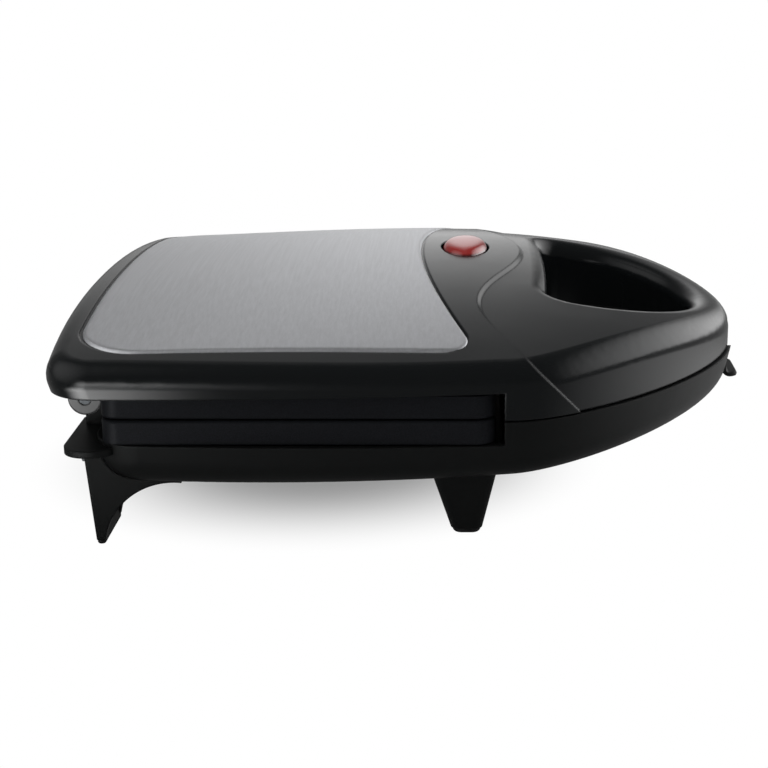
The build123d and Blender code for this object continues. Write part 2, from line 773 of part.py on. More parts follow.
element_lift = element_radius + seat_gap
nodes = {
    "lid_shell": lid_shell(),
    "steel_trim": steel_trim(),
    "lamp_lens": lamp_lens(),
    "pilot_lamps": pilot_lamps(),
    "lamp_holder": lamp_holder(),
    "upper_plate": plate(lid_low_z, upper_back_z, upper_shield_z),
    "upper_heating_element": heating_element(upper_back_z + element_lift),
    "upper_heat_shield": heat_shield(upper_shield_z),
    "upper_plate_screws": [screw(x, y, lid_seat_z, upper_shield_z - screw_bite / 2)
                           for x, y in plate_screw_places],
    "thermostat": thermostat(),
    "thermal_fuse": thermal_fuse(),
    "lid_handle_cover": lid_handle_cover(),
    "lid_cover_screws": [screw(x, y, lid_low_z + screw_head, lid_low_z + cover_sheet + screw_bite / 2)
                         for x, y in cover_screw_places],
    "latch_pin": latch_pin(),
    "latch_clip": latch_clip(),
    "base_shell": base_shell(),
    "rear_stand_left": rear_stand(1),
    "rear_stand_right": rear_stand(-1),
    "rear_stand_screws": stand_screws(),
    "hinge_pin_left": hinge_pin(1),
    "hinge_pin_right": hinge_pin(-1),
    "front_foot_left": front_foot(1),
    "front_foot_right": front_foot(-1),
    "foot_pads": foot_pads(),
    "lower_plate": plate(base_high_z, lower_back_z, lower_shield_z),
    "lower_heating_element": heating_element(lower_back_z - element_lift),
    "lower_heat_shield": heat_shield(lower_shield_z - shield_sheet),
    "lower_plate_screws": [screw(x, y, base_seat_z, lower_shield_z + screw_bite / 2)
                           for x, y in plate_screw_places],
    "base_handle_cover": base_handle_cover(),
    "base_cover_screws": [screw(x, y, base_high_z - screw_head, base_high_z - cover_sheet - screw_bite / 2)
                          for x, y in cover_screw_places],
    "terminal_block": terminal_block(),
    "cord_inlet_bush": cord_inlet_bush(),
}

os.makedirs("parts", exist_ok=True)
for name, shape in nodes.items():
    if isinstance(shape, list):
        shape = Compound(children=shape)
    export_step(shape, f"parts/{name}.step")
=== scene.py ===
"""Looks of the panini press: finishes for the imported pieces, and finer forms for those seen close."""
import math
import bmesh
import bpy
import numpy as np
from mathutils import Euler, Matrix, Vector


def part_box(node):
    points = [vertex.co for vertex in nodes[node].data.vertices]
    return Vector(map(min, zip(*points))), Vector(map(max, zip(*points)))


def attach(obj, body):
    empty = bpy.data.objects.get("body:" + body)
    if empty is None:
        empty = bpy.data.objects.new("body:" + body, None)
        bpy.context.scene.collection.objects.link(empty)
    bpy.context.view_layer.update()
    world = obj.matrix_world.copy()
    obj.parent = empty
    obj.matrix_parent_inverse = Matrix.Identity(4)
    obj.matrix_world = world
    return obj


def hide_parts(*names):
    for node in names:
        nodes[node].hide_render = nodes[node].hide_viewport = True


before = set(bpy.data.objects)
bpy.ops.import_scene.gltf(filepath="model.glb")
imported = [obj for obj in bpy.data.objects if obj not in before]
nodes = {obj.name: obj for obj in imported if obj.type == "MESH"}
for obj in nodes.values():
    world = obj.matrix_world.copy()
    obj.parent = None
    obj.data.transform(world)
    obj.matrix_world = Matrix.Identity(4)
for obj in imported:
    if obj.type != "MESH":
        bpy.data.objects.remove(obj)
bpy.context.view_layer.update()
mm = 0.001

# Sizes in metres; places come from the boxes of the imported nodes

# Dome of the lid: crest height along its length, and how far the sides sink below it
crest_x = 12.0 * mm
crest_z = 79.2 * mm
dome_rear_x = -121.2 * mm
dome_tip_x = 115.0 * mm
dome_half = 108.5 * mm
crest_rear_drop = 10.3 * mm
crest_tip_drop = 21.0 * mm
crest_rear_power = 1.9
crest_tip_power = 1.85
sag_crest = 18.3 * mm
sag_rear = 7.2 * mm
sag_tip = 5.0 * mm
sag_power = 2.2
sag_blend = 1.5

# Steel panel
steel_front_x = 2.3 * mm      # middle of the hollow front edge
steel_rear_bow = 2.0 * mm
steel_rear_corner = 22.0 * mm
steel_front_corner = 8.0 * mm
steel_front_radius = 230.0 * mm
steel_proud = 0.3 * mm
steel_roll = 1.8 * mm         # radius of the panel's turned-down edge
steel_skirt = 0.6 * mm        # straight part of the edge below the roll

# Pilot lamp
lens_gap = 0.6 * mm           # dark gap round the lens
lens_crown = 0.8 * mm         # drop of the lens's gentle crown from its middle to its rim
lens_edge = 2.2 * mm          # further drop, close to the rim
lens_edge_power = 9
lens_wall = 1.5 * mm
lens_skirt = 4.0 * mm
lens_shade_band = 0.8 * mm          # height of the band of painted shade above the lens's rim

# Finishes
soft_edge = 0.9 * mm          # rounding that the light shows on moulded edges
handling_size = 28.0 * mm     # patches of a moulded skin that handling has polished or dulled
handling_share = 0.15         # how much the roughness varies with them
brush_width = 1.0 * mm        # scratches of the steel, drawn wider than they are so that they show
brush_length = 60.0 * mm
brush_depth = 0.02 * mm
brush_span = (0.3, 0.7)       # part of the noise's range that carries the steel's tone
brush_tone = (0.9, 1.07)      # how much darker and lighter the scratches make it
brush_rough = (0.38, 0.5)     # roughness that they give it
speck_span = (0.35, 0.65)     # part of the noise's range between the two tones of a speckled finish
lens_cloud = 3.0 * mm         # faint cloudiness in the lens's red

# Cooking plates
plate_corner = 6.0 * mm
plate_thick = 7.5 * mm        # from a plate's rim to its back
plate_round = 0.9 * mm        # rounding of a plate's outer edge
plate_recess = 5.0 * mm
plate_rim = 3.0 * mm
rib_pitch = 10.0 * mm
rib_width = 4.0 * mm
rib_height = 2.5 * mm
rib_end_gap = 6.0 * mm
rib_draft = 1.6 * mm          # how far the flanks of ribs and rim run out
rib_end_share = 0.12          # share of the plate's length, at each end, that needs close points

# Screws
screw_radius = 3.0 * mm
screw_head = 1.8 * mm
head_fall = 0.5 * mm          # how far a pan head's rim lies below its middle
shank_radius = 1.5 * mm
cross_width = 0.9 * mm        # half width of an arm of the cross recess, to the foot of its flank
cross_reach = 2.1 * mm
cross_depth = 1.0 * mm
head_power = 3                # power with which the head falls from its middle to its rim
cover_screw_spots = [(48.0 * mm, 76.0 * mm), (80.0 * mm, 59.0 * mm)]
stand_screw_rows = [74.5 * mm, 89.0 * mm]

# Finger latch
knuckle_radius = 2.2 * mm
knuckle_bore = 1.15 * mm
knuckle_round = 0.5 * mm
strip_half = 0.95 * mm        # half of the strip's thickness
strip_bend = 2.2 * mm         # bend from the strip into its finger tab
tab_half = 1.0 * mm           # half of the tab's thickness
tongue_round = 4.0 * mm       # corners of the tab's tip
hook_middle = (110.2 * mm, 39.2 * mm)
hook_half = (1.65 * mm, 1.0 * mm)
hook_end = 0.96               # share of the hook's half length where its ends start to round off
hook_end_size = 0.8           # share of the hook's section that is left at its ends
section_power = 0.4           # power that rounds the corners of the sections of strip and hook

# Front feet and pads
sole_middle = (18.6 * mm, 80.0 * mm)
sole_half = (5.1 * mm, 5.0 * mm)
foot_top_half = 7.0 * mm      # half of a foot's width where it meets the belly
foot_corner = 3.0 * mm
sole_round = 0.5 * mm
pad_inset = 0.5 * mm
pad_round = 1.2 * mm
leg_pad_depth = 2.8 * mm

# Points along each surface, close enough that no facet shows
steel_rows = 81
steel_columns = 121
steel_roll_points = 9
lens_profile_points = 48
lens_ring = 96
plate_bend_points = 16
plate_cross_points = 491      # several on the flank of each rib
plate_end_points = 30
plate_middle_points = 24
plate_round_points = 6
screw_head_points = 28
screw_ring = 72
strip_points = 20
strip_bend_points = 10
tab_points = 40
latch_ring = 48
sole_round_points = 7
foot_corner_points = 9

# Meshes
merge_reach = 0.002 * mm      # points closer than this become one
sharp_angle = math.radians(40)
least_length = 1e-9           # keeps a division from nought

# Studio
floor_half = 8.0
shadow_middle = -0.038        # X of the middle of the floor's shaded part
shadow_reach = 0.035          # the floor keeps its shading this far out, then runs into the white surround
white_reach = 0.105
shadow_stretch = 0.95         # the shaded part is longer along X than along Y: share of X that counts
shadow_share = 0.72           # how much of the shading it shows
mirrored_floor = 0.25         # what mirrors see of the floor, away from its bright patches
surround_light = 0.75         # what the surround gives to matt surfaces
room_light = 0.14             # what mirrors see of the room, away from its bright places
# Bright places that mirrors see: direction, narrowing of X, cosine at the edge, power of fall-off, strength
bright_places = {
    "backdrop": ((-0.1, 0.993, 0.06), 7.5, 0.3, 0.9, 1.1),
    "right_wall": ((0.93, 0.339, 0.139), 1.0, 0.62, 1.0, 4.4),
    "left_wall": ((-0.81, -0.14, 0.57), 1.0, 0.74, 1.0, 1.3),
    "left_window": ((-0.469, -0.883, 0.0), 1.0, 0.962, 0.8, 14.0),
}
# Patches of the floor that window and wall light up, as mirrors see them: middle, reach, strength
floor_patches = {
    "by_the_window": ((-0.2, -0.24, 0), 0.115, 28.0),
    "past_the_window": ((-0.27, -0.37, 0), 0.14, 17.0),
    "beyond_the_window": ((-0.36, -0.53, 0), 0.18, 15.0),
    "far_from_the_window": ((-0.75, -1.35, 0), 0.72, 11.0),
    "by_the_wall": ((0.26, -0.03, 0), 0.22, 2.0),
    "along_the_wall": ((1.9, 1.6, 0), 1.9, 3.4),
}
# Soft lights, for matt surfaces alone: place, width, height, watts
soft_lights = {
    "overhead_softbox": ((-0.2, 0.1, 1.2), 0.8, 0.8, 4.0),
}

# Camera: the place, the turn and the lens that the photograph was taken with
photo_width = 768
camera_place = (20.6 * mm, -604.8 * mm, 200.9 * mm)
camera_pitch = 0.2800         # downwards, in radians as the next two
camera_yaw = 0.0324
camera_roll = 0.0094
focal_pixels = 1687.0
axis_pixels = 36.0            # how far right of the middle the lens's axis meets the picture
sensor_width = 36.0


# Shared tools

def linear(colour):
    """Linear colour of an sRGB hex value."""
    channels = np.array([int(colour[i:i + 2], 16) for i in (1, 3, 5)]) / 255
    light = np.where(channels <= 0.04045, channels / 12.92, ((channels + 0.055) / 1.055) ** 2.4)
    return (*light, 1.0)


def add(tree, kind, settings, links=None):
    """One shader node, its settings by field or socket, and the outputs that feed its sockets."""
    node = tree.nodes.new("ShaderNode" + kind)
    for name, value in settings.items():
        if isinstance(name, int) or name in node.inputs:
            node.inputs[name].default_value = value
        else:
            setattr(node, name, value)
    for name, output in (links or {}).items():
        tree.links.new(output, node.inputs[name])
    return node


def shader_of(name, settings):
    """New material with one principled shader; gives both, with the tree and the Object coordinates."""
    material = bpy.data.materials.new(name)
    material.use_nodes = True
    tree = material.node_tree
    shader = tree.nodes["Principled BSDF"]
    for socket, value in settings.items():
        shader.inputs[socket].default_value = value
    place = add(tree, "TexCoord", {}).outputs["Object"]
    return material, tree, shader, place


def grid_faces(rows, columns, wrap=False):
    """Quads of a grid of points stored row by row; wrap joins the last column to the first."""
    across = columns if wrap else columns - 1
    row, column = np.meshgrid(np.arange(rows - 1), np.arange(across), indexing="ij")
    after = (column + 1) % columns
    start = row * columns
    below = start + columns
    quads = (start + column, start + after, below + after, below + column)
    return np.stack(quads, axis=-1).reshape(-1, 4)


def piece(name, surfaces, body, material):
    """Mesh that rides a body, from (points, faces) pairs: doubled points merge, so poles and seams close."""
    points = np.concatenate([p.reshape(-1, 3) for p, f in surfaces])
    starts = np.cumsum([0] + [p.size // 3 for p, f in surfaces[:-1]])
    faces = np.concatenate([f + start for (p, f), start in zip(surfaces, starts)])
    mesh = bpy.data.meshes.new(name)
    mesh.from_pydata(points.tolist(), [], faces.tolist())
    form = bmesh.new()
    form.from_mesh(mesh)
    bmesh.ops.remove_doubles(form, verts=form.verts, dist=merge_reach)
    bmesh.ops.recalc_face_normals(form, faces=form.faces)
    form.to_mesh(mesh)
    form.free()
    mesh.shade_smooth()
    mesh.set_sharp_from_angle(angle=sharp_angle)
    mesh.materials.append(material)
    made = bpy.data.objects.new(name, mesh)
    bpy.context.scene.collection.objects.link(made)
    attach(made, body)
    return made


def crest(x):
    """Height of the dome along its middle line: it drops with a power of the way to either end."""
    rear = np.clip((crest_x - x) / (crest_x - dome_rear_x), 0, None) ** crest_rear_power
    tip = np.clip((x - crest_x) / (dome_tip_x - crest_x), 0, None) ** crest_tip_power
    return crest_z - crest_rear_drop * rear - crest_tip_drop * tip


def dome(x, y):
    """Height of the lid's dome: the crest less a sag that grows with a power of the way to the side."""
    rear = np.clip((crest_x - x) / (crest_x - dome_rear_x), 0, None) ** sag_blend
    tip = np.clip((x - crest_x) / (dome_tip_x - crest_x), 0, None) ** sag_blend
    sag = sag_crest - (sag_crest - sag_rear) * rear - (sag_crest - sag_tip) * tip
    return crest(x) - sag * (np.abs(y) / dome_half) ** sag_power


# Materials

def moulded_plastic(name, colour, specular, roughness, peel, depth):
    """Injection-moulded black plastic: a smooth skin whose faint waviness, peel wide and depth deep, softens
    reflections, and whose gloss varies a little from handling."""
    material, tree, shader, place = shader_of(name, {
        "Base Color": linear(colour), "Specular IOR Level": specular})
    cloud = add(tree, "TexNoise", {"Scale": 1 / handling_size, "Detail": 5.0, "Roughness": 0.6},
                {"Vector": place})
    gloss = add(tree, "MapRange", {"To Min": roughness * (1 - handling_share),
                                   "To Max": roughness * (1 + handling_share)},
                {"Value": cloud.outputs["Fac"]})
    skin = add(tree, "TexNoise", {"Scale": 1 / peel, "Detail": 2.0}, {"Vector": place})
    edge = add(tree, "Bevel", {"samples": 6, "Radius": soft_edge})
    bump = add(tree, "Bump", {"Strength": 1.0, "Distance": depth},
               {"Height": skin.outputs["Fac"], "Normal": edge.outputs["Normal"]})
    tree.links.new(gloss.outputs["Result"], shader.inputs["Roughness"])
    tree.links.new(bump.outputs["Normal"], shader.inputs["Normal"])
    return material


def brushed_steel():
    """Stainless sheet brushed from side to side: scratches along Y, drawn coarser than they are so that they
    show, vary its tone and gloss and blur what it mirrors."""
    steel_grey = "#c4c5c8"
    material, tree, shader, place = shader_of("brushed_stainless_steel", {"Metallic": 1.0})
    grain = add(tree, "Mapping", {"Scale": (1 / brush_width, 1 / brush_length, 1 / brush_width)},
                {"Vector": place})
    lines = add(tree, "TexNoise", {"Scale": 1.0, "Detail": 4.0, "Roughness": 0.7},
                {"Vector": grain.outputs["Vector"]})
    gloss = add(tree, "MapRange", {"To Min": brush_rough[0], "To Max": brush_rough[1]},
                {"Value": lines.outputs["Fac"]})
    tone = add(tree, "MapRange", {"From Min": brush_span[0], "From Max": brush_span[1],
                                  "To Min": brush_tone[0], "To Max": brush_tone[1]},
               {"Value": lines.outputs["Fac"]})
    colour = add(tree, "MixRGB", {"blend_type": "MULTIPLY", "Fac": 1.0, "Color1": linear(steel_grey)},
                 {"Color2": tone.outputs["Result"]})
    bump = add(tree, "Bump", {"Strength": 0.25, "Distance": brush_depth}, {"Height": lines.outputs["Fac"]})
    tree.links.new(colour.outputs["Color"], shader.inputs["Base Color"])
    tree.links.new(gloss.outputs["Result"], shader.inputs["Roughness"])
    tree.links.new(bump.outputs["Normal"], shader.inputs["Normal"])
    return material


def speckled(name, settings, speck, low, high, depth):
    """Coated, cast or pressed surface: specks of a real size vary its relief, and its colour between two
    tones."""
    material, tree, shader, place = shader_of(name, settings)
    specks = add(tree, "TexNoise", {"Scale": 1 / speck, "Detail": 3.0, "Roughness": 0.65}, {"Vector": place})
    spread = add(tree, "MapRange", {"From Min": speck_span[0], "From Max": speck_span[1]},
                 {"Value": specks.outputs["Fac"]})
    tone = add(tree, "MixRGB", {"Color1": linear(low), "Color2": linear(high)},
               {"Fac": spread.outputs["Result"]})
    bump = add(tree, "Bump", {"Strength": 1.0, "Distance": depth}, {"Height": specks.outputs["Fac"]})
    tree.links.new(tone.outputs["Color"], shader.inputs["Base Color"])
    tree.links.new(bump.outputs["Normal"], shader.inputs["Normal"])
    return material


def clear_red():
    """Red polycarbonate, moulded clear: light goes in and comes back red. A band just above the rim is
    painted darker red, as painted shade."""
    material, tree, shader, place = shader_of("clear_red_polycarbonate", {
        "Roughness": 0.12, "IOR": 1.58, "Transmission Weight": 0.25})
    rim_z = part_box("lamp_lens")[1][2] - lens_crown - lens_edge
    height = add(tree, "SeparateXYZ", {}, {0: place})
    # painted shade: the red runs to a dark #3a0a0c in a band just above the lens's rim
    depth = add(tree, "MapRange", {"From Min": rim_z, "From Max": rim_z + lens_shade_band},
                {"Value": height.outputs["Z"]})
    cloud = add(tree, "TexNoise", {"Scale": 1 / lens_cloud, "Detail": 2.0}, {"Vector": place})
    body = add(tree, "MixRGB", {"Color1": linear("#962523"), "Color2": linear("#a92e2b")},
               {"Fac": cloud.outputs["Fac"]})
    tone = add(tree, "MixRGB", {"Color1": linear("#3a0a0c")},
               {"Fac": depth.outputs["Result"], "Color2": body.outputs["Color"]})
    tree.links.new(tone.outputs["Color"], shader.inputs["Base Color"])
    return material


# Polished mould: deep black that mirrors the room softly
gloss_black = moulded_plastic("glossy_moulded_abs", "#0f1112", 0.18, 0.2, 2.5 * mm, 0.004 * mm)
# Spark-eroded mould: a fine matt skin with a weak, wide sheen
satin_black = moulded_plastic("satin_moulded_polyester", "#121313", 0.07, 0.5, 0.7 * mm, 0.012 * mm)
steel = brushed_steel()
red_lens = clear_red()
# Fluoropolymer coating baked on a casting: dark, slightly sparkling, soft sheen
nonstick = speckled("nonstick_coated_aluminium", {"Roughness": 0.42, "Specular IOR Level": 0.025},
                    0.45 * mm, "#131416", "#1b1c1f", 0.012 * mm)
# Synthetic rubber: dull, slightly dusty black
rubber = speckled("black_rubber", {"Roughness": 0.75, "Specular IOR Level": 0.2},
                  0.8 * mm, "#121213", "#1c1c1d", 0.02 * mm)
# Moulded nylon: milky, waxy white
white_nylon = speckled("white_nylon", {"Roughness": 0.45, "Subsurface Weight": 0.1},
                       2.0 * mm, "#e2dfd6", "#ece9e1", 0.008 * mm)
# Steatite body of the thermostat: matt off-white ceramic
ceramic = speckled("steatite_ceramic", {"Roughness": 0.7}, 0.6 * mm, "#cfc9bb", "#ded8cb", 0.02 * mm)
# Zinc-plated fasteners: bright with a faint blue cast
zinc = speckled("zinc_plated_steel", {"Metallic": 1.0, "Roughness": 0.32},
                0.9 * mm, "#9ea2a6", "#b4b8bc", 0.01 * mm)
# Hinge and latch pins: oiled steel, dark and soft
pin_steel = speckled("oiled_steel", {"Metallic": 1.0, "Roughness": 0.5},
                     1.2 * mm, "#303234", "#3e4042", 0.01 * mm)
# Rolled aluminium reflector sheet: pale, with a cloudy shine
aluminium = speckled("rolled_aluminium", {"Metallic": 1.0, "Roughness": 0.38},
                     1.6 * mm, "#c3c5c6", "#d3d5d6", 0.01 * mm)
# Heater tube: nickel alloy browned by heat, in uneven patches
heater_tube = speckled("heat_browned_nickel_alloy", {"Metallic": 1.0, "Roughness": 0.45},
                       4.0 * mm, "#6f665c", "#8a8379", 0.02 * mm)
# Neon lamp: smooth glass over a pale electrode
neon_glass = speckled("neon_lamp_glass", {"Roughness": 0.06, "IOR": 1.5, "Transmission Weight": 0.7},
                      3.0 * mm, "#f0d9cc", "#f7e8df", 0.005 * mm)

finishes = {
    gloss_black: ["lid_shell"],
    satin_black: ["lid_handle_cover", "latch_clip", "base_shell", "rear_stand_left", "rear_stand_right",
                  "front_foot_left", "front_foot_right", "base_handle_cover"],
    steel: ["steel_trim"],
    red_lens: ["lamp_lens"],
    neon_glass: ["pilot_lamps"],
    white_nylon: ["lamp_holder", "terminal_block"],
    nonstick: ["upper_plate", "lower_plate"],
    heater_tube: ["upper_heating_element", "lower_heating_element"],
    aluminium: ["upper_heat_shield", "lower_heat_shield"],
    zinc: ["upper_plate_screws", "lower_plate_screws", "lid_cover_screws", "base_cover_screws",
           "rear_stand_screws", "thermal_fuse"],
    pin_steel: ["hinge_pin_left", "hinge_pin_right", "latch_pin"],
    ceramic: ["thermostat"],
    rubber: ["foot_pads", "cord_inlet_bush"],
}
for material, names in finishes.items():
    for name in names:
        nodes[name].data.materials.clear()
        nodes[name].data.materials.append(material)


# Pieces

def corner_run(y, half, radius):
    """How far a rounded corner of a plan draws an edge in, at a distance y from the middle line."""
    past = np.clip(np.abs(y) - (half - radius), 0, radius)
    return radius - np.sqrt(radius ** 2 - past ** 2)


def outward(border):
    """Level directions square to a closed border, pointing out of it."""
    along = np.roll(border, -1, axis=0) - np.roll(border, 1, axis=0)
    out = np.stack([along[:, 1], -along[:, 0], np.zeros(len(border))], axis=-1)
    out = out / np.maximum(np.linalg.norm(out, axis=1, keepdims=True), least_length)
    turned_in = np.sum(out * (border - border.mean(axis=0)), axis=1).mean() < 0
    return -out if turned_in else out


def border_of(sheet):
    """The points round a grid, as a closed row."""
    return np.concatenate([sheet[0], sheet[1:-1, -1], sheet[-1, ::-1], sheet[-2:0:-1, 0]])


def turned_edge(border, radius, points, bottom):
    """Rows of points carried out from a border, and how far each falls: a quarter circle of the radius, then
    straight down to bottom."""
    turn = np.linspace(0, math.pi / 2, points)
    reach = np.append(radius * np.sin(turn), radius)[:, None, None]
    fall = np.append(radius * (1 - np.cos(turn)), bottom)[:, None]
    return border + outward(border) * reach, fall


def steel_panel():
    """Sheet on the dome between a bowed rear edge and a hollow front edge, both functions of y with rounded
    corners; round its border the sheet turns down through a quarter circle."""
    low, high = [np.array(corner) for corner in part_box("steel_trim")]
    half = high[1] - steel_roll
    y = half * np.sin(np.linspace(-0.5, 0.5, steel_columns) * math.pi)
    rear = low[0] + steel_roll + steel_rear_bow * (y / half) ** 2
    rear = rear + corner_run(y, half, steel_rear_corner - steel_roll)
    front = steel_front_x - steel_roll + y ** 2 / (2 * steel_front_radius)
    front = front - corner_run(y, half, steel_front_corner - steel_roll)
    way = np.linspace(0, 1, steel_rows)[:, None]
    x = rear + (front - rear) * way
    sheet = np.stack([x, np.broadcast_to(y, x.shape), np.zeros_like(x)], axis=-1)
    edge, fall = turned_edge(border_of(sheet), steel_roll, steel_roll_points, steel_roll + steel_skirt)
    sheet[..., 2] = dome(sheet[..., 0], sheet[..., 1]) + steel_proud
    edge[..., 2] = dome(edge[..., 0], edge[..., 1]) + steel_proud - fall
    surfaces = [(sheet, grid_faces(*x.shape)), (edge, grid_faces(*edge.shape[:2], wrap=True))]
    panel = piece("steel_panel", surfaces, "lid", steel)
    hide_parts("steel_trim")


def lens():
    """Hollow oval with a gentle crown: it drops with the square of the way from its middle to the rim, close
    to the rim with a high power of it, then runs down in a straight skirt, and the same inside; the profile
    of radius share and height is carried round an ellipse."""
    low, high = [np.array(corner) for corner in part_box("lamp_lens")]
    middle = (low + high) / 2
    half = (high - low)[:2] / 2 - lens_gap
    angle = np.linspace(0, 2 * math.pi, lens_ring, endpoint=False)
    share = np.sin(np.linspace(0, math.pi / 2, lens_profile_points))
    outer = high[2] - lens_crown * share ** 2 - lens_edge * share ** lens_edge_power
    inner = 1 - lens_wall / half[0]
    share = np.concatenate([share, [1, inner], share[::-1] * inner])
    foot_z = outer[-1] - lens_skirt
    height = np.concatenate([outer, [foot_z, foot_z], outer[::-1] - lens_wall])
    points = np.stack([
        middle[0] + half[0] * share[:, None] * np.cos(angle),
        middle[1] + half[1] * share[:, None] * np.sin(angle),
        np.repeat(height[:, None], len(angle), axis=1)], axis=-1)
    made = piece("domed_lens", [(points, grid_faces(len(share), len(angle), wrap=True))], "lid", red_lens)
    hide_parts("lamp_lens")


def smooth(way):
    """Soft step from 0 to 1."""
    way = np.clip(way, 0, 1)
    return way * way * (3 - 2 * way)


def cooking_plate(node, up):
    """Plate as a height over a rounded rectangle: a rim, a recess with flanks that run out, ribs along X with
    round tops, and round the border a quarter circle and a wall down to the flat back. up points out of the
    face."""
    low, high = [np.array(corner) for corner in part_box(node)]
    face_z = high[2] if up > 0 else low[2]
    half = high[1] - plate_round
    corner = plate_corner - plate_round
    bend = half - corner + corner * np.sin(np.linspace(0, math.pi / 2, plate_bend_points)[1:])
    y = np.concatenate([-bend[::-1], np.linspace(corner - half, half - corner, plate_cross_points), bend])
    draw = corner_run(y, half, corner)
    rear = low[0] + plate_round + draw
    front = high[0] - plate_round - draw
    ends = np.linspace(0, rib_end_share, plate_end_points)
    between = np.linspace(rib_end_share, 1 - rib_end_share, plate_middle_points)[1:-1]
    way = np.concatenate([ends, between, 1 - ends[::-1]])[:, None]
    x = rear + (front - rear) * way
    across = np.broadcast_to(y, x.shape)
    edge = np.minimum(np.minimum(x - low[0], high[0] - x), high[1] - np.abs(across))
    depth = plate_recess * smooth((edge - plate_rim) / rib_draft)
    from_rib = np.abs((across + rib_pitch / 2) % rib_pitch - rib_pitch / 2)
    rib = smooth((rib_width / 2 + rib_draft / 2 - from_rib) / rib_draft)
    ended = smooth((edge - plate_rim - rib_end_gap + rib_draft / 2) / rib_draft)
    depth = depth - rib_height * rib * ended
    sheet = np.stack([x, across, face_z - up * depth], axis=-1)
    wall, fall = turned_edge(border_of(sheet), plate_round, plate_round_points, plate_thick)
    wall[..., 2] = face_z - up * fall
    back = np.repeat(wall[-1:].mean(axis=1, keepdims=True), wall.shape[1], axis=1)
    wall = np.concatenate([wall, back])
    surfaces = [(sheet, grid_faces(*x.shape)), (wall, grid_faces(*wall.shape[:2], wrap=True))]
    made = piece("ribbed_" + node, surfaces, "lid" if up < 0 else "base", nonstick)
    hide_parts(node)


def screws(node, body, spots, axis, sign):
    """Pan heads with a cross recess and their shanks: a profile of radius and height turned about the screw's
    axis, less a cross whose arms are soft steps, set on each spot with its head's top towards sign along
    axis."""
    low, high = [np.array(corner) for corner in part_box(node)]
    shank = high[axis] - low[axis] - screw_head
    seat = low[axis] + screw_head if sign < 0 else high[axis] - screw_head
    angle = np.linspace(0, 2 * math.pi, screw_ring, endpoint=False)
    way = np.linspace(0, 1, screw_head_points)
    radius = np.append(screw_radius * way, [screw_radius, shank_radius, shank_radius, 0])[:, None]
    height = np.append(screw_head - head_fall * way ** head_power, [0, 0, -shank, -shank])[:, None]
    u = radius * np.cos(angle)
    v = radius * np.sin(angle)
    flank = cross_width / 2
    arms = smooth((cross_width - np.minimum(np.abs(u), np.abs(v))) / flank)
    cut = cross_depth * arms * smooth((cross_reach - radius) / flank) * (height > 0)
    one = np.zeros(u.shape + (3,))
    one[..., axis] = seat + sign * (height - cut)
    one[..., (axis + 1) % 3] = u
    one[..., (axis + 2) % 3] = v
    faces = grid_faces(len(radius), len(angle), wrap=True)
    made = piece("cross_recess_" + node, [(one + np.array(spot), faces) for spot in spots], body, zinc)
    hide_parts(node)


def all_screws():
    """The screws that show, each set on its spots."""
    low, high = [np.array(corner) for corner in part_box("lower_plate_screws")]
    ends_x = (low[0] + screw_radius, high[0] - screw_radius)
    ends_y = (low[1] + screw_radius, high[1] - screw_radius)
    screws("lower_plate_screws", "base", [(x, y, 0) for x in ends_x for y in ends_y], 2, -1)
    covers = [(x, side * y, 0) for x, y in cover_screw_spots for side in (-1, 1)]
    screws("base_cover_screws", "base", covers, 2, 1)
    screws("lid_cover_screws", "lid", covers, 2, -1)
    low, high = [np.array(corner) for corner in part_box("rear_stand_screws")]
    level = (low[2] + high[2]) / 2
    stands = [(0, side * y, level) for y in stand_screw_rows for side in (-1, 1)]
    screws("rear_stand_screws", "base", stands, 0, -1)


def soft_section(angle, power):
    """Signed powers of cosine and sine: a rectangle with soft corners."""
    return [np.sign(wave) * np.abs(wave) ** power for wave in (np.cos(angle), np.sin(angle))]


